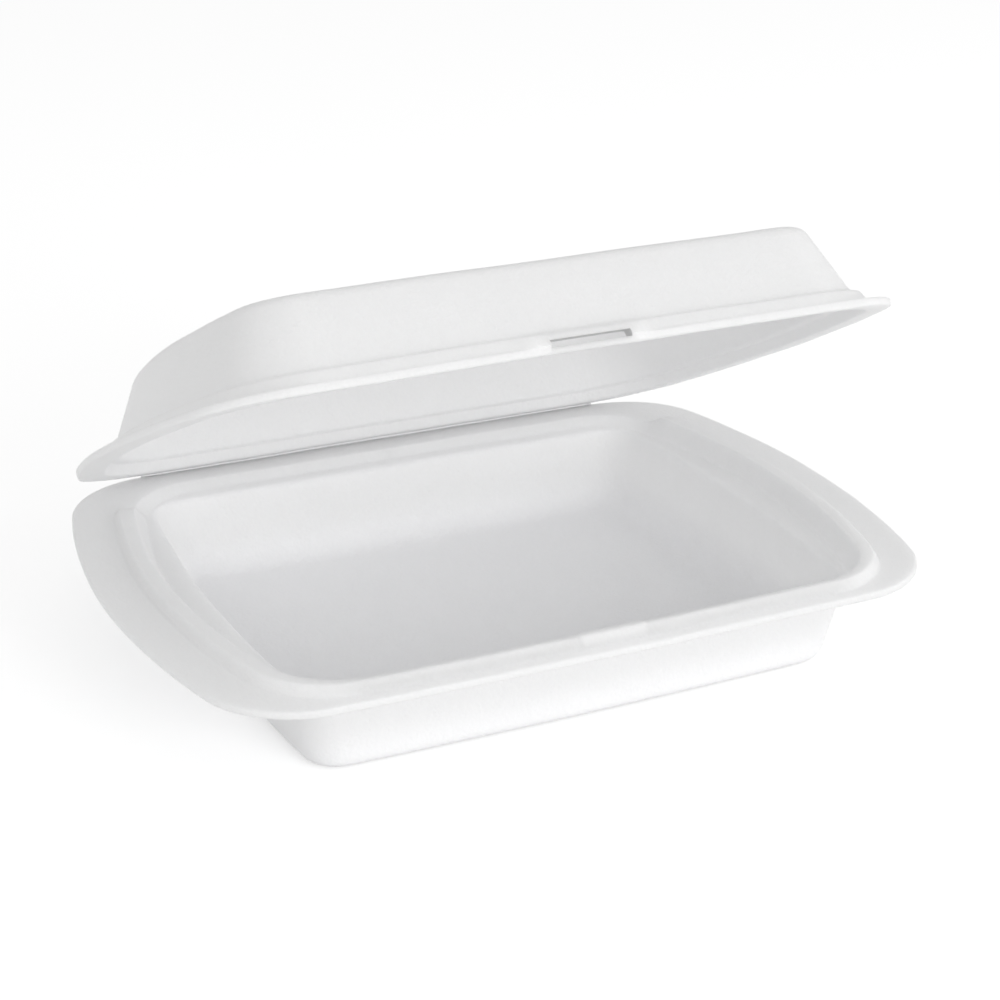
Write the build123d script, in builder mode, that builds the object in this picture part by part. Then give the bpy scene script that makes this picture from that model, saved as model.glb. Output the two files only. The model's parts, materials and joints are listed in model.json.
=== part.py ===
from build123d import *
from collections import namedtuple
from math import cos, radians, sin, sqrt
import os

# Foam clamshell meal box: a base tray and a domed lid, vacuum formed from one
# sheet of foam that folds along a straight crease at the rear.
# X runs along the crease, the front is -Y, Z is up, and the origin is the
# middle of the face that the base stands on. All lengths in millimetres.

# Overall sizes
rim_length = 240.0        # left to right, at the widest point of the bowed sides
rim_depth = 178.0         # front edge to crease
rim_height = 30.0         # top of the base's flange above the table
rim_side_bow = 15.0       # how far the middle of a side stands out past its ends
front_bow = 2.0           # the same for the front edge, in every outline
rim_corner_radius = 30.0
sheet = 2.4               # thickness of the foam sheet after forming

# Base tray: insets are measured inwards from the rim's outline
ledge_drop = 3.0          # the ledge inside the rim lies this far below the flange
floor_side_inset = 36.0
floor_front_inset = 20.0
floor_rear_inset = 24.0
floor_side_bow = 4.0
floor_corner_radius = 10.0
wall_top_side_inset = 30.0
wall_top_front_inset = 15.5
wall_top_rear_inset = 18.0
wall_top_side_bow = 5.0
wall_top_corner_radius = 14.0
floor_fillet = 8.0        # inside, where the wall runs into the floor
foot_fillet = 5.0         # outside, round the foot of the tray

# Bead that stands on the flange along the front and both sides
bead_height = 3.2
bead_side_inset = 12.6    # rim outline to the bead's outer foot
bead_front_inset = 3.8
bead_rear_inset = 7.0     # where the same outline runs past the rear, without a bead
bead_side_bow = 14.0
bead_corner_radius = 27.0
bead_face_run = 1.6       # how far the bead's outer face leans inwards
bead_side_crest = 4.3     # width of the flat top
bead_front_crest = 2.0
riser_side_run = 3.2      # lean of the inner face, from the crest to the ledge
riser_front_run = 2.5
bead_end = 31.0           # the bead's crest stops this far in front of the crease
bead_end_slope = 35.0     # degrees, how its ends ramp down

# Lid
lid_height = 28.0         # outside, from its mating face to the top
lid_side_margin = 3.5     # the lid's flange stops this far inside the base's
lid_front_margin = 0.5
snap_clearance = 0.8      # between the bead and the channel that covers it
channel_side_floor = 3.0  # flat roof of the channel, outside the dome's wall
channel_front_floor = 1.6
channel_rear_floor = 3.0
dome_side_run = 11.6      # how far the dome's wall leans in over its height
dome_front_run = 10.0
dome_rear_run = 11.0
dome_side_bow = 9.0
dome_corner_radius = 14.0
dome_foot_radius = 22.0
crown_fillet = 5.0        # outside, round the edge of the lid's top
crown_inner_fillet = 3.0

# Hinge crease and closing
open_angle = 26.5         # degrees that the lid stands open as modelled
seat_gap = 0.3            # between the two flanges when the box is shut
crease_gap = 0.3          # between the two rear edges, where the sheet is pinched

# Catch: a small nose on the bead and the slot in the lid that it snaps into
catch_length = 20.0
catch_rise = 0.5          # the nose above the bead's crest
catch_depth = 0.9         # and below it
catch_reach = 0.7         # how far it leans out past the crest
catch_lean = 0.35         # how much less it leans out at its lower edge
catch_thickness = 1.8
slot_length = 24.0
slot_height = 2.2
pad_length = 36.0         # raised pad on the lid's front that holds the slot
pad_reach = 1.3
pad_taper = 8.0           # degrees

# Small roundings
edge_fillet = 0.9         # edges of both flanges
bead_fillet = 0.7         # crest of the bead


Ring = namedtuple("Ring", "height side front rear bow radius")

half_depth = rim_depth / 2
ledge_height = rim_height - ledge_drop
crest_height = rim_height + bead_height
mate_height = rim_height + seat_gap
roof_height = crest_height + snap_clearance
top_height = mate_height + lid_height
hinge_height = rim_height + seat_gap / 2

# Both shells are drawn as they lie when the box is shut, with the crease at
# y = 0 in their own frames. The lid's frame is then turned open on the crease.
base_frame = Plane((0, half_depth, 0))
lid_up = Axis((0, half_depth, hinge_height), (0, sin(radians(open_angle)), cos(radians(open_angle))))
crease = Location((0, half_depth, hinge_height))
opened = Location((0, 0, 0), (-open_angle, 0, 0))
lid_frame = Plane(crease * opened * Location((0, 0, -hinge_height)))


def outline(frame, ring):
    """Rounded outline with bowed sides and front, and a straight rear."""
    middle_x = rim_length / 2 - ring.side
    corner_x = middle_x - ring.bow
    front_y = -rim_depth + ring.front
    corner_y = front_y + front_bow
    rear_y = -ring.rear
    middle_y = (front_y + rear_y) / 2
    with BuildSketch(frame.offset(ring.height)) as shape:
        with BuildLine():
            ThreePointArc((-corner_x, corner_y), (0, front_y), (corner_x, corner_y))
            ThreePointArc((corner_x, corner_y), (middle_x, middle_y), (corner_x, rear_y))
            Line((corner_x, rear_y), (-corner_x, rear_y))
            ThreePointArc((-corner_x, rear_y), (-middle_x, middle_y), (-corner_x, corner_y))
        make_face()
        fillet(shape.vertices(), ring.radius)
    return shape.sketch


def frustum(frame, lower, upper, mode=Mode.ADD):
    """Solid between two outlines, each at its own height above the frame."""
    loft([outline(frame, lower), outline(frame, upper)], ruled=True, mode=mode)


def flange(frame, rim):
    """Flat rim of one sheet's thickness with softly rounded edges."""
    slab = extrude(outline(frame, rim), amount=sheet)
    fillet(slab.faces().filter_by(frame).edges(), edge_fillet)


def across(wall, height, shift=0.0):
    """Outline at a height on a sloping wall, after moving the wall inwards by shift."""
    lower, upper = wall
    rise = upper.height - lower.height
    up = height - lower.height

    def inset(low, high):
        lean = (high - low) / rise
        return low + lean * up + shift * sqrt(1 + lean * lean)

    return Ring(
        height,
        inset(lower.side, upper.side),
        inset(lower.front, upper.front),
        inset(lower.rear, upper.rear),
        lower.bow + (upper.bow - lower.bow) * up / rise,
        lower.radius + (upper.radius - lower.radius) * up / rise - shift,
    )


def moved_in(ring, height, side, front, rear, bow, radius):
    """Outline at another height, further in by the given amounts."""
    return Ring(height, ring.side + side, ring.front + front, ring.rear + rear, bow, radius)


# Outlines of the base, from the bead's outer foot inwards to the floor
rim = Ring(rim_height - sheet, 0, 0, crease_gap / 2, rim_side_bow, rim_corner_radius)
bead_foot = Ring(
    rim_height, bead_side_inset, bead_front_inset, bead_rear_inset,
    bead_side_bow, bead_corner_radius,
)
bead_edge = moved_in(
    bead_foot, crest_height, bead_face_run, bead_face_run, bead_face_run,
    bead_side_bow, bead_corner_radius - bead_face_run,
)
riser_top = moved_in(
    bead_edge, crest_height, bead_side_crest, bead_front_crest, bead_front_crest,
    bead_side_bow, bead_edge.radius - bead_front_crest,
)
riser_foot = moved_in(
    riser_top, ledge_height, riser_side_run, riser_front_run, riser_front_run,
    bead_side_bow, riser_top.radius - riser_front_run,
)
wall_top = Ring(
    ledge_height, wall_top_side_inset, wall_top_front_inset, wall_top_rear_inset,
    wall_top_side_bow, wall_top_corner_radius,
)
floor_edge = Ring(
    sheet, floor_side_inset, floor_front_inset, floor_rear_inset,
    floor_side_bow, floor_corner_radius,
)
bead_face = (bead_foot, bead_edge)
riser = (riser_foot, riser_top)
wall = (floor_edge, wall_top)

# Outlines of the lid's inner face: a channel over the bead, then the dome
channel_top = across(bead_face, roof_height, -snap_clearance)
dome_foot = moved_in(
    channel_top, roof_height, channel_side_floor, channel_front_floor, channel_rear_floor,
    bead_side_bow, dome_foot_radius,
)
dome_top = moved_in(
    dome_foot, top_height - sheet, dome_side_run, dome_front_run, dome_rear_run,
    dome_side_bow, dome_corner_radius,
)
dome = (dome_foot, dome_top)
lid_rim = Ring(
    mate_height, lid_side_margin, lid_front_margin, crease_gap / 2,
    rim_side_bow, rim_corner_radius - lid_side_margin,
)

# The bead ramps down at both rear ends, and so does the hollow under it
end_lean = radians(bead_end_slope)
bead_ramp = Plane(
    (0, half_depth - bead_end, crest_height),
    x_dir=(1, 0, 0),
    z_dir=(0, sin(end_lean), cos(end_lean)),
)

with BuildPart() as bead:
    frustum(base_frame, bead_foot, bead_edge)
    split(bisect_by=bead_ramp, keep=Keep.BOTTOM)

# Under the bead the sheet is hollow, so that it keeps one thickness
hollow_foot = rim_height - sheet
hollow_top = crest_height - sheet
with BuildPart() as bead_hollow:
    frustum(base_frame, across(bead_face, hollow_foot, sheet), across(bead_face, hollow_top, sheet))
    frustum(
        base_frame, across(riser, hollow_foot, -sheet), across(riser, hollow_top, -sheet),
        mode=Mode.SUBTRACT,
    )
    split(bisect_by=bead_ramp.offset(-sheet), keep=Keep.BOTTOM)

with BuildPart() as base:
    flange(base_frame, rim)
    # Outside of the tray, from the foot up to the ledge
    pan_top = ledge_height - sheet
    frustum(base_frame, across(wall, 0, -sheet), across(wall, pan_top, -sheet))
    fillet(base.edges().group_by(Axis.Z)[0], foot_fillet)
    frustum(base_frame, across(riser, pan_top, -sheet), across(riser, hollow_foot, -sheet))
    add(bead.part)
    # Inside: the cavity, then the wider recess above the ledge
    frustum(base_frame, floor_edge, wall_top, mode=Mode.SUBTRACT)
    frustum(base_frame, riser_foot, riser_top, mode=Mode.SUBTRACT)
    add(bead_hollow.part, mode=Mode.SUBTRACT)
    tray_floor = base.faces().filter_by(Axis.Z).sort_by(Axis.Z)[1]
    fillet(tray_floor.edges(), floor_fillet)
    fillet(base.faces().filter_by(Axis.Z).sort_by(Axis.Z)[-1].edges(), bead_fillet)
    # Catch nose on the front of the bead
    nose_y = -half_depth + bead_foot.front + bead_face_run
    nose_low = crest_height - catch_depth
    nose_top = crest_height + catch_rise
    with BuildSketch(Plane.YZ) as nose:
        with BuildLine():
            Polyline(
                (nose_y - catch_reach + catch_lean, nose_low),
                (nose_y - catch_reach, crest_height),
                (nose_y - catch_reach, nose_top),
                (nose_y - catch_reach + catch_thickness, nose_top),
                (nose_y - catch_reach + catch_thickness, nose_low),
                close=True,
            )
        make_face()
    extrude(amount=catch_length / 2, both=True)

with BuildPart() as lid:
    flange(lid_frame, lid_rim)
    flange_top = mate_height + sheet
    shoulder = roof_height + sheet
    channel_outside = (across(bead_face, flange_top, -snap_clearance - sheet),
                       across(bead_face, shoulder, -snap_clearance - sheet))
    frustum(lid_frame, *channel_outside)
    # Pad at the middle of the front, flush with the flange's edge
    pad_front = -rim_depth + channel_outside[0].front - pad_reach
    pad_rear = -rim_depth + channel_outside[1].front + sheet
    with BuildSketch(lid_frame.offset(flange_top)):
        with Locations((0, (pad_front + pad_rear) / 2)):
            Rectangle(pad_length, pad_rear - pad_front)
    extrude(amount=shoulder - flange_top, taper=pad_taper)
    frustum(lid_frame, across(dome, shoulder, -sheet), across(dome, top_height, -sheet))
    fillet(lid.faces().filter_by(lid_frame).sort_by(lid_up)[-1].edges(), crown_fillet)
    # Inside: the channel over the bead, then the dome
    frustum(lid_frame, across(bead_face, mate_height, -snap_clearance), channel_top, mode=Mode.SUBTRACT)
    frustum(lid_frame, dome_foot, dome_top, mode=Mode.SUBTRACT)
    fillet(lid.faces().filter_by(lid_frame).sort_by(lid_up)[-2].edges(), crown_inner_fillet)
    # Slot for the catch, through the pad and the channel's outer wall
    slot_front = pad_front - sheet
    slot_rear = -rim_depth + channel_top.front + snap_clearance
    with BuildSketch(lid_frame.offset(flange_top)):
        with Locations((0, (slot_front + slot_rear) / 2)):
            Rectangle(slot_length, slot_rear - slot_front)
    extrude(amount=slot_height, mode=Mode.SUBTRACT)

base.part.label = "base"
lid.part.label = "lid"
os.makedirs("parts", exist_ok=True)
export_step(base.part, "parts/base.step")
export_step(lid.part, "parts/lid.step")
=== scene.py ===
import json
from collections import namedtuple
from math import atan2, cos, hypot, pi, radians, sin, sqrt, tan

import bpy
import numpy as np
from mathutils import Matrix, Vector

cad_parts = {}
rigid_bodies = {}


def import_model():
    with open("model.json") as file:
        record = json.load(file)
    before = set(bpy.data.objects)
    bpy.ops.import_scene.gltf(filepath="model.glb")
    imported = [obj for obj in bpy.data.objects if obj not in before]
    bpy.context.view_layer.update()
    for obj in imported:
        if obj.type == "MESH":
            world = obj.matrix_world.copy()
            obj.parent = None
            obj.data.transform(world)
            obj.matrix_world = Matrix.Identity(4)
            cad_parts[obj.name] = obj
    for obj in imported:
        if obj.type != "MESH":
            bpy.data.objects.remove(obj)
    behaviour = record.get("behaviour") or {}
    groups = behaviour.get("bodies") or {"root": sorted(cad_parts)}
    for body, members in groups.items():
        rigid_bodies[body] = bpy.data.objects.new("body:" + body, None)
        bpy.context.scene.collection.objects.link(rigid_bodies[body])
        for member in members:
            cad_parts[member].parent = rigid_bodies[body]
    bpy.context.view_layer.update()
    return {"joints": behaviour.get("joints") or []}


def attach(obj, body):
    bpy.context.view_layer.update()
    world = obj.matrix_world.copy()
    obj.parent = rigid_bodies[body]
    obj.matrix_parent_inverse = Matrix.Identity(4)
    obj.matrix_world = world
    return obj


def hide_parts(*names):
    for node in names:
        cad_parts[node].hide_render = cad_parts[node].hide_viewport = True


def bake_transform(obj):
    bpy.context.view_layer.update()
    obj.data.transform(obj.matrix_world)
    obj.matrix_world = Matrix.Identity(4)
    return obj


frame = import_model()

# Foam clamshell meal box. Each shell is one formed sheet: a bundle of section
# lines runs from the middle of its inside, out over the bead and the rim, and
# back to the middle of its outside. Geometry Nodes round the corners of those
# lines and skin them. Named lengths are in millimetres, meshes in metres.

MM = 0.001

# Driving sizes of the box
RIM_LENGTH = 240.0
RIM_DEPTH = 178.0
RIM_HEIGHT = 30.0
SIDE_BOW = 15.0
FRONT_BOW = 2.0
REAR_BOW = 0.01            # as good as straight
SHEET = 2.4
CREASE_GAP = 0.3
SEAT_GAP = 0.3
LEDGE_DROP = 3.0
BEAD_HEIGHT = 3.2
SNAP_CLEARANCE = 0.8
LID_HEIGHT = 28.0

# Roundings where a shell's section turns, from the inside to the outside
FLOOR_FILLET = 9.5
WALL_TOP_FILLET = 2.0
LEDGE_FILLET = 1.6
CREST_INNER_FILLET = 1.0
EDGE_FILLET = 0.9          # both edges of each flange, and the crest and the pad
BEAD_FOOT_FILLET = 1.3
HOLLOW_FOOT_FILLET = 0.8   # hollow below the bead, and the channel's roof
HOLLOW_TOP_FILLET = 0.4
UNDER_LEDGE_FILLET = 3.0
UNDER_WALL_TOP_FILLET = 2.6
FOOT_FILLET = 5.0
CROWN_FILLET = 5.0         # edge of the lid's top
CROWN_INNER_FILLET = 3.4
DOME_FOOT_FILLET = 2.2
SHOULDER_FILLET = 2.4
PAD_TOP_FILLET = 1.6

# Extra rings keep the flat faces flat and the walls straight beside those roundings:
# distances from a flat face's edge, and heights on the tray's wall
FLOOR_FLATS = (30, 11, 9)
FOOT_FLATS = (5, 7, 30)
CROWN_FLATS = (30, 7, 5)
DOME_FLATS = (4, 6, 30)
INNER_WALL_MIDDLE = 15.0
OUTER_WALL_MIDDLE = 14.0

# The bead's crest stops in front of the crease and ramps down there
BEAD_END = 31.0
BEAD_END_SLOPE = radians(35.0)

# Catch: nose on the bead, pad and slot on the lid
NOSE_LENGTH = 20.0
NOSE_REACH = 0.7
NOSE_RISE = 0.5
PAD_LENGTH = 36.0
PAD_REACH = 1.3
PAD_TOP_LENGTH = 35.0
PAD_TOP_REACH = 0.975
SOFT_END = 1.2             # the pad and the nose fade out over this length
SLOT_LENGTH = 24.0
SLOT_HEIGHT = 2.1
SLOT_RAISE = 0.1           # the slot's lower edge above the flange
SLOT_CUT = 9.0             # depth of the cutter

# The lid's right front corner stands a little high
LID_LIFT = 1.5

# Thin web behind the crease: points of its section as y and z from the crease,
# on the base's side. The lid's side mirrors them.
WEB_BEHIND = [(0.1, -1.45), (0.16, -1.0), (0.3, -0.5)]
WEB_BEFORE = [(-0.4, -1.45), (-0.4, -0.9), (-0.15, -0.4)]
WEB_REACH = 0.36           # how far its fold stands out behind the crease
WEB_STEPS = 40

# Steps along each part of an outline, and points of a rounded section corner
FINE_SHARE = 1.15          # the finely stepped front, as a share of the pad's length
FRONT_FINE = 60            # across the catch, and a little beyond it
FRONT_COARSE = 18          # on each side of it
SIDE_STEPS = 44
REAR_STEPS = 44
CORNER_STEPS = 16
ARC_POINTS = 5

# Slight unevenness of the formed sheet, the same where base and lid meet
UNEVENNESS = 0.7
PATCH_SIZE = 45.0
SHEET_SEED = 3.0
STIFF_HEIGHT = 4.0         # flat and even up to here, so that the foot stands level
UNEVEN_HEIGHT = 22.0       # full unevenness from here up
WELD = 0.002               # points closer than this are one

# Light that comes through the foam, by the height above the table
DARK_HEIGHT = 3.0
CLEAR_HEIGHT = 16.0

half_depth = RIM_DEPTH / 2
ledge_height = RIM_HEIGHT - LEDGE_DROP
crest_height = RIM_HEIGHT + BEAD_HEIGHT
mate_height = RIM_HEIGHT + SEAT_GAP
roof_height = crest_height + SNAP_CLEARANCE
top_height = mate_height + LID_HEIGHT

# A ring is one outline at a height, by its insets from the rim's outermost points,
# the bow of its sides and the radius of its corners
Ring = namedtuple("Ring", "height side front rear bow radius")


def hinge_facts(name):
    """Place of the lid's hinge, and how far the lid stands open at rest."""
    joint = next(j for j in frame["joints"] if j["name"] == name)
    return Vector(joint["pos_m"]), radians(-joint["range_deg"][0])


hinge_place, open_angle = hinge_facts("lid_hinge")


# Outlines

def side_circle(middle, inward, bow, half_chord):
    """Centre and radius of the circle through a bowed side's ends and middle."""
    radius = (half_chord ** 2 + bow ** 2) / (2 * bow)
    return np.array(middle) + np.array(inward) * radius, radius


def corner_centre(first, second, radius, outward):
    """Centre of a rounding that touches two sides from inside."""
    (c1, r1), (c2, r2) = first, second
    a, b = r1 - radius, r2 - radius
    gap = hypot(*(c2 - c1))
    unit = (c2 - c1) / gap
    along = (a * a - b * b + gap * gap) / (2 * gap)
    off = sqrt(a * a - along * along)
    across_unit = np.array([-unit[1], unit[0]])
    if across_unit @ outward < 0:
        across_unit = -across_unit
    return c1 + unit * along + across_unit * off


def touching(circle, centre):
    """Where a rounding with this centre touches a side's circle."""
    away = centre - circle[0]
    return circle[0] + away / hypot(*away) * circle[1]


def arc(centre, start, end, steps):
    """Points from start towards end, counter-clockwise about a centre."""
    first = atan2(*(start - centre)[::-1])
    last = atan2(*(end - centre)[::-1])
    if last < first:
        last += 2 * pi
    angles = first + (last - first) * steps
    radius = hypot(*(start - centre))
    return centre + radius * np.stack([np.cos(angles), np.sin(angles)], 1)


def even(count):
    """Shares from 0 up to 1, which belongs to the next stretch."""
    return np.arange(count) / count


def outline(ring):
    """Points in x and y of a rounded outline with bowed sides and a straight rear."""
    half_length = RIM_LENGTH / 2 - ring.side
    front = -half_depth + ring.front
    rear = half_depth - ring.rear
    middle = (front + FRONT_BOW + rear) / 2
    half_front = half_length - ring.bow
    half_side = rear - middle
    sides = [
        side_circle((0, front), (0, 1), FRONT_BOW, half_front),
        side_circle((half_length, middle), (-1, 0), ring.bow, half_side),
        side_circle((0, rear), (0, -1), REAR_BOW, half_front),
        side_circle((-half_length, middle), (1, 0), ring.bow, half_side),
    ]
    outward = [(1, -1), (1, 1), (-1, 1), (-1, -1)]
    corners = [
        corner_centre(sides[i], sides[(i + 1) % 4], ring.radius, outward[i]) for i in range(4)
    ]
    fine = FINE_SHARE * PAD_LENGTH / (2 * half_front)
    front_steps = np.concatenate([
        (1 - fine) / 2 * even(FRONT_COARSE),
        (1 - fine) / 2 + fine * even(FRONT_FINE),
        (1 + fine) / 2 + (1 - fine) / 2 * even(FRONT_COARSE),
    ])
    steps = [front_steps, even(SIDE_STEPS), even(REAR_STEPS), even(SIDE_STEPS)]
    points = []
    for i, side in enumerate(sides):
        after = sides[(i + 1) % 4]
        end = touching(side, corners[i])
        points.append(arc(side[0], touching(side, corners[i - 1]), end, steps[i]))
        points.append(arc(corners[i], end, touching(after, corners[i]), even(CORNER_STEPS)))
    return np.concatenate(points)


def across(wall, height, shift=0.0):
    """Ring at a height on a sloping wall, after moving the wall inwards by shift."""
    lower, upper = wall
    rise = upper.height - lower.height
    up = height - lower.height

    def inset(low, high):
        lean = (high - low) / rise
        return low + lean * up + shift * sqrt(1 + lean * lean)

    return Ring(
        height,
        inset(lower.side, upper.side),
        inset(lower.front, upper.front),
        inset(lower.rear, upper.rear),
        lower.bow + (upper.bow - lower.bow) * up / rise,
        lower.radius + (upper.radius - lower.radius) * up / rise - shift,
    )


def moved_in(ring, height, side, front, rear, bow, radius):
    """Ring at another height, further in by the given amounts."""
    return Ring(height, ring.side + side, ring.front + front, ring.rear + rear, bow, radius)


def shrunk(ring, by):
    """The same ring, further in on a flat face."""
    return moved_in(ring, ring.height, by, by, by, ring.bow, ring.radius)


# Rings of the base, from the rim inwards, then of the lid's inner face
rim = Ring(RIM_HEIGHT, side=0, front=0, rear=CREASE_GAP / 2, bow=SIDE_BOW, radius=30)
bead_foot = Ring(RIM_HEIGHT, side=12.6, front=3.8, rear=7.0, bow=14, radius=27)
bead_edge = moved_in(bead_foot, crest_height, side=1.6, front=1.6, rear=1.6, bow=14, radius=25.4)
riser_top = moved_in(bead_edge, crest_height, side=4.3, front=2.0, rear=2.0, bow=14, radius=23.4)
riser_foot = moved_in(riser_top, ledge_height, side=3.2, front=2.5, rear=2.5, bow=14, radius=20.9)
wall_top = Ring(ledge_height, side=30, front=15.5, rear=18, bow=5, radius=11)
floor_edge = Ring(SHEET, side=36, front=20, rear=24, bow=4, radius=8)
flange_middle = Ring(RIM_HEIGHT, side=5, front=2.4, rear=3, bow=SIDE_BOW, radius=30)
bead_face = (bead_foot, bead_edge)
riser = (riser_foot, riser_top)
wall = (floor_edge, wall_top)

channel_top = across(bead_face, roof_height, -SNAP_CLEARANCE)
dome_foot = moved_in(channel_top, roof_height, side=3.0, front=1.6, rear=3.0, bow=14, radius=22)
dome_top = moved_in(
    dome_foot, top_height - SHEET, side=11.6, front=10.0, rear=11.0, bow=9, radius=14,
)
dome = (dome_foot, dome_top)
lid_rim = Ring(mate_height, side=3.5, front=0.5, rear=CREASE_GAP / 2, bow=SIDE_BOW, radius=26.5)


# Objects

def linked(name, data):
    """Object in the scene with this mesh, curve, lamp or camera."""
    thing = bpy.data.objects.new(name, data)
    bpy.context.scene.collection.objects.link(thing)
    return thing


def mesh_object(name, corners, faces):
    """Mesh object from its corners and faces."""
    mesh = bpy.data.meshes.new(name)
    mesh.from_pydata(corners, [], faces)
    return linked(name, mesh)


def evaluated_mesh(source):
    """An object's shape after its modifiers, as a mesh of its own."""
    graph = bpy.context.evaluated_depsgraph_get()
    return bpy.data.meshes.new_from_object(source.evaluated_get(graph), depsgraph=graph)


# Section lines

def level(ring):
    """Points of a ring at its own height."""
    flat = outline(ring)
    return np.column_stack([flat, np.full(len(flat), ring.height)])


def middle_of(ring):
    """As many points as a ring has, all in its middle."""
    points = level(ring)
    return np.tile([0, points[:, 1].mean(), ring.height], (len(points), 1))


def flats(ring, insets):
    """Stations on the flat face inside a ring."""
    return [(level(shrunk(ring, inset)), 0) for inset in insets]


def ramped(points, below=0.0):
    """Lowers the bead's crest, or the hollow below it, to the flange at its rear ends."""
    behind = points[:, 1] - (half_depth - BEAD_END)
    crest = np.clip(crest_height - behind * tan(BEAD_END_SLOPE), RIM_HEIGHT, crest_height)
    points[:, 2] = crest - below
    return points


def pushed(points, length, out, up=0.0):
    """Moves the middle stretch of the front outwards and up, with soft ends."""
    share = np.clip((length / 2 + SOFT_END / 2 - np.abs(points[:, 0])) / SOFT_END, 0, 1)
    share = share * share * (3 - 2 * share)
    share[points[:, 1] > 0] = 0
    points[:, 1] -= out * share
    points[:, 2] += up * share
    return points


def base_stations():
    """Rings that the base's sections pass, each with the radius that rounds it."""
    hollow_foot = RIM_HEIGHT - SHEET
    hollow_top = crest_height - SHEET
    pan_top = ledge_height - SHEET
    foot = across(wall, 0, -SHEET)
    hollow_outside = level(across(bead_face, hollow_top, SHEET))
    hollow_inside = level(across(riser, hollow_top, -SHEET))
    return [
        # Floor, wall and ledge
        (middle_of(floor_edge), 0),
        *flats(floor_edge, FLOOR_FLATS),
        (level(floor_edge), FLOOR_FILLET),
        (level(across(wall, INNER_WALL_MIDDLE)), 0),
        (level(wall_top), WALL_TOP_FILLET),
        (level(riser_foot), LEDGE_FILLET),
        # Bead and flange
        (pushed(ramped(level(riser_top)), NOSE_LENGTH, 0, NOSE_RISE), CREST_INNER_FILLET),
        (pushed(ramped(level(bead_edge)), NOSE_LENGTH, NOSE_REACH, NOSE_RISE), EDGE_FILLET),
        (level(bead_foot), BEAD_FOOT_FILLET),
        (level(flange_middle), 0),
        (level(rim), EDGE_FILLET),
        (level(rim._replace(height=hollow_foot)), EDGE_FILLET),
        # Hollow below the bead
        (level(across(bead_face, hollow_foot, SHEET)), HOLLOW_FOOT_FILLET),
        (ramped(hollow_outside, SHEET), HOLLOW_TOP_FILLET),
        (ramped(hollow_inside, SHEET), HOLLOW_TOP_FILLET),
        # Outside of the tray
        (level(across(riser, pan_top, -SHEET)), UNDER_LEDGE_FILLET),
        (level(across(wall, pan_top, -SHEET)), UNDER_WALL_TOP_FILLET),
        (level(across(wall, OUTER_WALL_MIDDLE, -SHEET)), 0),
        (level(foot), FOOT_FILLET),
        *flats(foot, FOOT_FLATS),
        (middle_of(foot), 0),
    ]


def lid_stations():
    """The same for the lid, as it lies when the box is shut."""
    flange_top = mate_height + SHEET
    shoulder = roof_height + SHEET
    top_edge = across(dome, top_height, -SHEET)
    outer = -SNAP_CLEARANCE - SHEET
    pad_top = pushed(level(across(bead_face, shoulder, outer)), PAD_TOP_LENGTH, PAD_TOP_REACH)
    pad_foot = pushed(level(across(bead_face, flange_top, outer)), PAD_LENGTH, PAD_REACH)
    return [
        # Top and wall
        (middle_of(top_edge), 0),
        *flats(top_edge, CROWN_FLATS),
        (level(top_edge), CROWN_FILLET),
        (level(across(dome, (shoulder + top_height) / 2, -SHEET)), 0),
        (level(across(dome, shoulder, -SHEET)), SHOULDER_FILLET),
        # Outside of the channel, with the pad, and the flange
        (pad_top, PAD_TOP_FILLET),
        (pad_foot, EDGE_FILLET),
        (level(lid_rim._replace(height=flange_top)), EDGE_FILLET),
        (level(lid_rim), EDGE_FILLET),
        # Channel and inside of the dome
        (level(across(bead_face, mate_height, -SNAP_CLEARANCE)), BEAD_FOOT_FILLET),
        (level(channel_top), HOLLOW_FOOT_FILLET),
        (level(dome_foot), DOME_FOOT_FILLET),
        (level(across(dome, (roof_height + top_height) / 2)), 0),
        (level(dome_top), CROWN_INNER_FILLET),
        *flats(dome_top, DOME_FLATS),
        (middle_of(dome_top), 0),
    ]


def section_lines(name, stations):
    """Curve object with one section line for each point of the outline."""
    rows = np.stack([points for points, _ in stations]) * MM
    radii = [radius * MM for _, radius in stations]
    curve = bpy.data.curves.new(name, "CURVE")
    curve.dimensions = "3D"
    for column in range(rows.shape[1]):
        line = curve.splines.new("POLY")
        line.points.add(len(stations) - 1)
        places = np.column_stack([rows[:, column], np.ones(len(rows))])
        line.points.foreach_set("co", places.ravel())
        line.points.foreach_set("radius", radii)
    return linked(name, curve)


# Node trees

class NodeTree:
    """Node tree that is built one linked node at a time."""

    def __init__(self, tree):
        self.tree = tree

    def add(self, kind, links=None, **settings):
        """Adds a node; links gives for each input a value or another node's output."""
        node = self.tree.nodes.new(kind)
        for key, value in settings.items():
            setattr(node, key, value)
        self.set(node, links or {})
        return node

    def set(self, node, links):
        """Sets a node's inputs, or links them where the value is another node's output."""
        for key, value in links.items():
            if isinstance(value, bpy.types.NodeSocket):
                self.tree.links.new(value, node.inputs[key])
            else:
                node.inputs[key].default_value = value


class SheetTree(NodeTree):
    """Geometry node tree with one geometry and a few named values going in."""

    def __init__(self, name, inputs):
        super().__init__(bpy.data.node_groups.new(name, "GeometryNodeTree"))
        face = self.tree.interface
        face.new_socket("Geometry", in_out="INPUT", socket_type="NodeSocketGeometry")
        face.new_socket("Geometry", in_out="OUTPUT", socket_type="NodeSocketGeometry")
        self.ids = {
            key: face.new_socket(key, in_out="INPUT", socket_type=kind).identifier
            for key, kind in inputs.items()
        }
        self.start = self.add("NodeGroupInput")
        self.end = self.add("NodeGroupOutput")

    def given(self, key):
        """One of the values going in."""
        return self.start.outputs[key]


class Finish(NodeTree):
    """Material with a node tree."""

    def __init__(self, name):
        self.material = bpy.data.materials.new(name)
        self.material.use_nodes = True
        super().__init__(self.material.node_tree)
        self.surface = self.tree.nodes["Principled BSDF"]


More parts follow.
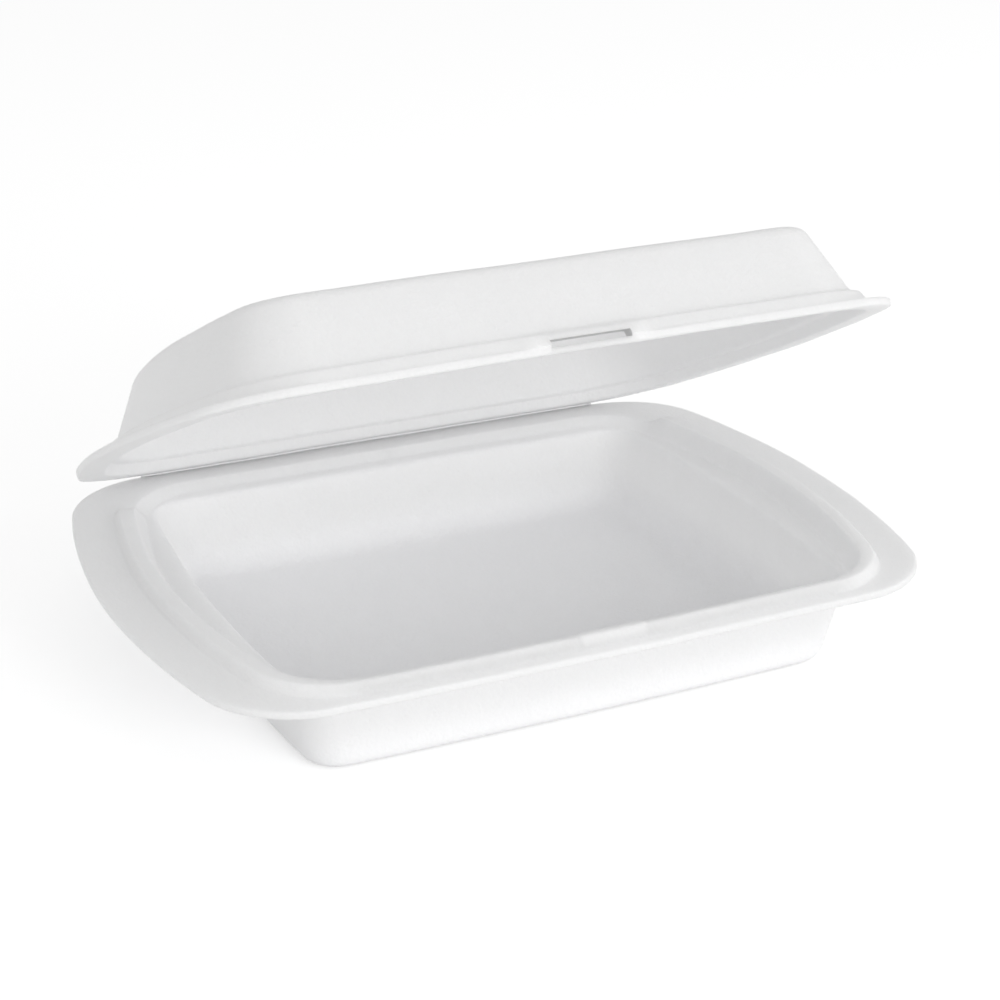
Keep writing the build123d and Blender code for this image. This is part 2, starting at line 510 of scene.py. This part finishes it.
def skin_tree():
    """Rounds each section line's corners, skins the lines and makes the sheet slightly uneven."""
    t = SheetTree("formed_sheet", {
        "Arc points": "NodeSocketInt",
        "Unevenness": "NodeSocketFloat",
        "Patch size": "NodeSocketFloat",
        "Seed": "NodeSocketFloat",
        "Foam": "NodeSocketMaterial",
    })

    def mathed(operation, first, second):
        node = t.add("ShaderNodeMath", {0: first, 1: second}, operation=operation)
        return node.outputs[0]

    # Section lines with rounded corners
    rounded = t.add("GeometryNodeFilletCurve", {
        "Curve": t.given("Geometry"),
        "Radius": t.add("GeometryNodeInputRadius").outputs[0],
        "Limit Radius": True,
        "Count": t.given("Arc points"),
    }, mode="POLY").outputs["Curve"]

    # Grid with a row for each line, and the first line once more to close it
    size = t.add("GeometryNodeAttributeDomainSize", {"Geometry": rounded}, component="CURVE")
    points, lines = size.outputs["Point Count"], size.outputs["Spline Count"]
    grid = t.add("GeometryNodeMeshGrid", {
        "Vertices X": mathed("ADD", lines, 1.0),
        "Vertices Y": mathed("DIVIDE", points, lines),
    }).outputs["Mesh"]
    index = t.add("GeometryNodeInputIndex").outputs[0]
    place = t.add("GeometryNodeSampleIndex", {
        "Geometry": rounded,
        "Value": t.add("GeometryNodeInputPosition").outputs[0],
        "Index": mathed("FLOORED_MODULO", index, points),
    }, data_type="FLOAT_VECTOR", domain="POINT").outputs[0]
    skin = t.add("GeometryNodeSetPosition", {"Geometry": grid, "Position": place}).outputs[0]
    whole = t.add("GeometryNodeMergeByDistance", {
        "Geometry": skin, "Distance": WELD * MM,
    }).outputs[0]

    # Soft unevenness above the foot
    spot = t.add("GeometryNodeInputPosition").outputs[0]
    shifted = t.add("ShaderNodeVectorMath", {0: spot, 1: t.given("Seed")}, operation="ADD")
    noise = t.add("ShaderNodeTexNoise", {
        "Vector": shifted.outputs[0],
        "Scale": mathed("DIVIDE", 1.0, t.given("Patch size")),
        "Detail": 1.0,
    })
    centred = t.add("ShaderNodeVectorMath", {
        0: noise.outputs["Color"], 1: (0.5, 0.5, 0.5),
    }, operation="SUBTRACT")
    lifted = t.add("ShaderNodeMapRange", {
        "Value": t.add("ShaderNodeSeparateXYZ", {0: spot}).outputs["Z"],
        "From Min": STIFF_HEIGHT * MM,
        "From Max": UNEVEN_HEIGHT * MM,
    }, interpolation_type="SMOOTHSTEP").outputs[0]
    offset = t.add("ShaderNodeVectorMath", {
        0: centred.outputs[0], "Scale": mathed("MULTIPLY", t.given("Unevenness"), lifted),
    }, operation="SCALE")
    uneven = t.add("GeometryNodeSetPosition", {"Geometry": whole, "Offset": offset.outputs[0]})

    smooth = t.add("GeometryNodeSetShadeSmooth", {"Geometry": uneven.outputs[0]})
    real = t.add("GeometryNodeRealizeInstances", {"Geometry": smooth.outputs[0]})
    foamed = t.add("GeometryNodeSetMaterial", {
        "Geometry": real.outputs[0], "Material": t.given("Foam"),
    })
    t.set(t.end, {"Geometry": foamed.outputs[0]})
    return t


def plain_mesh(name, source, tree, values):
    """Runs a tree on an object and keeps the result as a mesh object without modifiers."""
    modifier = source.modifiers.new(tree.tree.name, "NODES")
    modifier.node_group = tree.tree
    for key, value in values.items():
        modifier[tree.ids[key]] = value
    mesh = evaluated_mesh(source)
    mesh.name = name
    bpy.data.objects.remove(source)
    return linked(name, mesh)


# Materials

def foam_material(name, most_through):
    """White foamed sheet: faint cloudiness, fine grain and a satin skin."""
    s = Finish(name)
    spot = s.add("ShaderNodeTexCoord").outputs["Object"]
    clouds = s.add("ShaderNodeTexNoise", {
        "Vector": spot, "Scale": 45.0, "Detail": 2.0,
    }).outputs["Fac"]
    grain = s.add("ShaderNodeTexNoise", {
        "Vector": spot, "Scale": 900.0, "Detail": 1.0,
    }).outputs["Fac"]
    tone = s.add("ShaderNodeMix", {"Factor": 0.35, "A": clouds, "B": grain}).outputs["Result"]
    shade = s.add("ShaderNodeValToRGB", {"Fac": tone})
    ramp = shade.color_ramp.elements
    ramp[0].position, ramp[0].color = 0.3, (0.943, 0.943, 0.95, 1)
    ramp[1].position, ramp[1].color = 0.7, (0.963, 0.963, 0.969, 1)
    sheen = s.add("ShaderNodeMapRange", {
        "Value": clouds, "To Min": 0.42, "To Max": 0.6,
    }).outputs[0]
    relief = s.add("ShaderNodeBump", {
        "Height": grain, "Strength": 0.5, "Distance": 0.0004,
    }).outputs[0]
    # Light comes through the thin walls, but not where the foot lies on the table
    through = s.add("ShaderNodeMapRange", {
        "Value": s.add("ShaderNodeSeparateXYZ", {"Vector": spot}).outputs["Z"],
        "From Min": DARK_HEIGHT * MM,
        "From Max": CLEAR_HEIGHT * MM,
        "To Min": 0.0,
        "To Max": most_through,
    }, interpolation_type="SMOOTHSTEP").outputs[0]
    # The radii and the scale are in metres: white light goes about 8 mm into the foam
    s.set(s.surface, {
        "Base Color": shade.outputs["Color"],
        "Roughness": sheen,
        "Normal": relief,
        "Specular IOR Level": 0.4,
        "Subsurface Weight": through,
        "Subsurface Radius": (1.0, 1.0, 1.0),
        "Subsurface Scale": 0.008,
    })
    return s.material


def table_material():
    """White table top that keeps the box's shadow and is seen as white up to the horizon."""
    s = Finish("white_table")
    s.set(s.surface, {
        "Base Color": (0.93, 0.93, 0.93, 1),
        "Roughness": 0.9,
        "Specular IOR Level": 0.0,
    })
    seen = s.add("ShaderNodeLightPath").outputs
    direct = s.add("ShaderNodeMath", {
        0: seen["Is Camera Ray"], 1: seen["Is Glossy Ray"],
    }, operation="MAXIMUM").outputs[0]
    direct = s.add("ShaderNodeMath", {
        0: direct, 1: seen["Is Transmission Ray"],
    }, operation="MAXIMUM").outputs[0]
    dark = s.add("ShaderNodeEmission", {"Color": (0, 0, 0, 1), "Strength": 0.0})
    glow = s.add("ShaderNodeEmission", {"Color": (1, 1, 1, 1), "Strength": 0.36})
    shown = s.add("ShaderNodeMixShader", {0: direct, 1: dark.outputs[0], 2: glow.outputs[0]})
    total = s.add("ShaderNodeAddShader", {0: s.surface.outputs[0], 1: shown.outputs[0]})
    s.set(s.tree.nodes["Material Output"], {"Surface": total.outputs[0]})
    return s.material


foam = foam_material("foam_sheet", 1.0)
pinched_foam = foam_material("pinched_foam", 0.0)
foam_tree = skin_tree()


# Shells

def shell(name, stations):
    """Closed mesh of one shell from its stations."""
    return plain_mesh(name, section_lines(name + "_lines", stations), foam_tree, {
        "Arc points": ARC_POINTS,
        "Unevenness": UNEVENNESS * MM,
        "Patch size": PATCH_SIZE * MM,
        "Seed": SHEET_SEED,
        "Foam": foam,
    })


def outwards(piece):
    """Turns a closed mesh's faces outwards by the sign of its volume."""
    mesh = piece.data
    mesh.calc_loop_triangles()
    corners = np.zeros(len(mesh.vertices) * 3)
    mesh.vertices.foreach_get("co", corners)
    corners = corners.reshape(-1, 3)
    index = np.zeros(len(mesh.loop_triangles) * 3, int)
    mesh.loop_triangles.foreach_get("vertices", index)
    a, b, c = corners[index.reshape(-1, 3)].transpose(1, 0, 2)
    if np.einsum("ij,ij->i", a, np.cross(b, c)).sum() < 0:
        mesh.flip_normals()


def slot_cutter():
    """Bar through the pad and the channel's outer wall, as it lies when the box is shut."""
    low = mate_height + SHEET + SLOT_RAISE
    size = Vector((SLOT_LENGTH, SLOT_CUT, SLOT_HEIGHT)) * MM
    centre = Vector((0, bead_foot.front - half_depth, low + SLOT_HEIGHT / 2)) * MM
    corners = [
        centre + Vector((x * size.x, y * size.y, z * size.z)) / 2
        for x in (-1, 1) for y in (-1, 1) for z in (-1, 1)
    ]
    faces = [(0, 1, 3, 2), (4, 6, 7, 5), (0, 4, 5, 1), (2, 3, 7, 6), (0, 2, 6, 4), (1, 5, 7, 3)]
    return mesh_object("slot_cutter", corners, faces)


def cut(piece, cutter):
    """Takes the cutter's shape out of a piece."""
    modifier = piece.modifiers.new("slot", "BOOLEAN")
    modifier.operation = "DIFFERENCE"
    modifier.solver = "EXACT"
    modifier.object = cutter
    mesh = evaluated_mesh(piece)
    piece.modifiers.clear()
    piece.data = mesh
    bpy.data.objects.remove(cutter)


def lifted(stations):
    """The lid's stations, with its right front corner raised as thin foam warps."""
    for points, _ in stations:
        share = (0.5 + points[:, 0] / RIM_LENGTH) * (half_depth - points[:, 1]) / RIM_DEPTH
        points[:, 2] += LID_LIFT * share
    return stations


def opened(piece):
    """Turns a shell from the shut place about the crease to where it stands at rest."""
    turn = Matrix.Rotation(-open_angle, 4, "X")
    piece.data.transform(Matrix.Translation(hinge_place) @ turn @ Matrix.Translation(-hinge_place))


def mirrored(place):
    """A point of the web's section on the lid's side, from the same point on the base's side."""
    y, z = place[0], -place[1]
    return y * cos(open_angle) + z * sin(open_angle), z * cos(open_angle) - y * sin(open_angle)


def tube_faces(sections, count):
    """Faces between closed sections with the same number of points, and both end faces."""
    faces = []
    for start in range(0, (sections - 1) * count, count):
        for i in range(count):
            j = (i + 1) % count
            faces.append((start + i, start + j, start + count + j, start + count + i))
    last = sections * count
    faces.append(tuple(range(count)))
    faces.append(tuple(range(last - 1, last - 1 - count, -1)))
    return faces


def crease_web():
    """Thin pinched strip behind the crease. It joins the rear edges of the two shells."""
    fold = (WEB_REACH * cos(open_angle / 2), -WEB_REACH * sin(open_angle / 2))
    section = WEB_BEHIND + [fold] + [mirrored(p) for p in reversed(WEB_BEHIND)]
    section += [mirrored(p) for p in WEB_BEFORE] + WEB_BEFORE[::-1]
    edge = outline(rim)
    reach = edge[edge[:, 1] > half_depth - rim.rear - 2 * REAR_BOW, 0].max()
    corners = [
        hinge_place + Vector((x, y, z)) * MM
        for x in np.linspace(-reach, reach, WEB_STEPS + 1)
        for y, z in section
    ]
    web = mesh_object("crease_web", corners, tube_faces(WEB_STEPS + 1, len(section)))
    web.data.materials.append(pinched_foam)
    web.data.shade_smooth()
    outwards(web)
    return web


base = shell("foam_base", base_stations())
outwards(base)

lid = shell("foam_lid", lifted(lid_stations()))
outwards(lid)
cut(lid, slot_cutter())
opened(lid)

web = crease_web()

# What each piece stands for, and what it moves with
for piece, body in ((base, "base"), (lid, "lid")):
    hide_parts(body)
    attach(piece, body)
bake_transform(web)


# Table, light and camera, in metres and watts

TABLE_REACH = 4.0
TABLE_DROP = 0.0005        # light that comes through the foot is thrown back into it from here
ROOM_LIGHT = 0.61
LAMP_SIZE = 0.9
LAMP_TARGET = Vector((0, 0, 0.04))
LAMPS = {
    "front": ((0.5, -1.9, 0.55), 12.5),
    "left": ((-1.2, -1.4, 0.9), 4),
    "right": ((1.9, -0.7, 0.55), 4.5),
}
CAMERA_AZIMUTH = radians(-25.19)
CAMERA_ELEVATION = radians(22.45)
CAMERA_DISTANCE = 0.755
CAMERA_TARGET = Vector((0.04584, 0.08668, 0.0))
CAMERA_LENS = 76.48        # millimetres, on a sensor that is 36 wide


def white_table():
    """Table top that the box stands on."""
    turns = ((-1, -1), (1, -1), (1, 1), (-1, 1))
    corners = [(x * TABLE_REACH, y * TABLE_REACH, -TABLE_DROP) for x, y in turns]
    table = mesh_object("table", corners, [(0, 1, 2, 3)])
    table.data.materials.append(table_material())


def soft_lamp(name, place, power):
    """Round area lamp that looks at the box."""
    lamp = bpy.data.lights.new(name, "AREA")
    lamp.shape = "DISK"
    lamp.size = LAMP_SIZE
    lamp.energy = power
    holder = linked(name, lamp)
    holder.location = place
    holder.rotation_euler = (LAMP_TARGET - Vector(place)).to_track_quat("-Z", "Y").to_euler()


def room_light():
    """Even white light from all around the box."""
    world = bpy.data.worlds.new("soft_room")
    bpy.context.scene.world = world
    world.use_nodes = True
    background = world.node_tree.nodes["Background"]
    background.inputs["Color"].default_value = (1.0, 1.0, 1.0, 1)
    background.inputs["Strength"].default_value = ROOM_LIGHT


def photo_camera():
    """Camera at the photograph's viewing angle."""
    away = Vector((
        sin(CAMERA_AZIMUTH) * cos(CAMERA_ELEVATION),
        -cos(CAMERA_AZIMUTH) * cos(CAMERA_ELEVATION),
        sin(CAMERA_ELEVATION),
    ))
    camera = bpy.data.cameras.new("camera")
    camera.sensor_width = 36.0
    camera.lens = CAMERA_LENS
    camera.clip_start = 0.01
    holder = linked("camera", camera)
    holder.location = CAMERA_TARGET + away * CAMERA_DISTANCE
    holder.rotation_euler = (-away).to_track_quat("-Z", "Y").to_euler()
    bpy.context.scene.camera = holder


photo_camera()
white_table()
room_light()
for name, (place, power) in LAMPS.items():
    soft_lamp(name, place, power)
bpy.context.scene.view_settings.view_transform = "Standard"
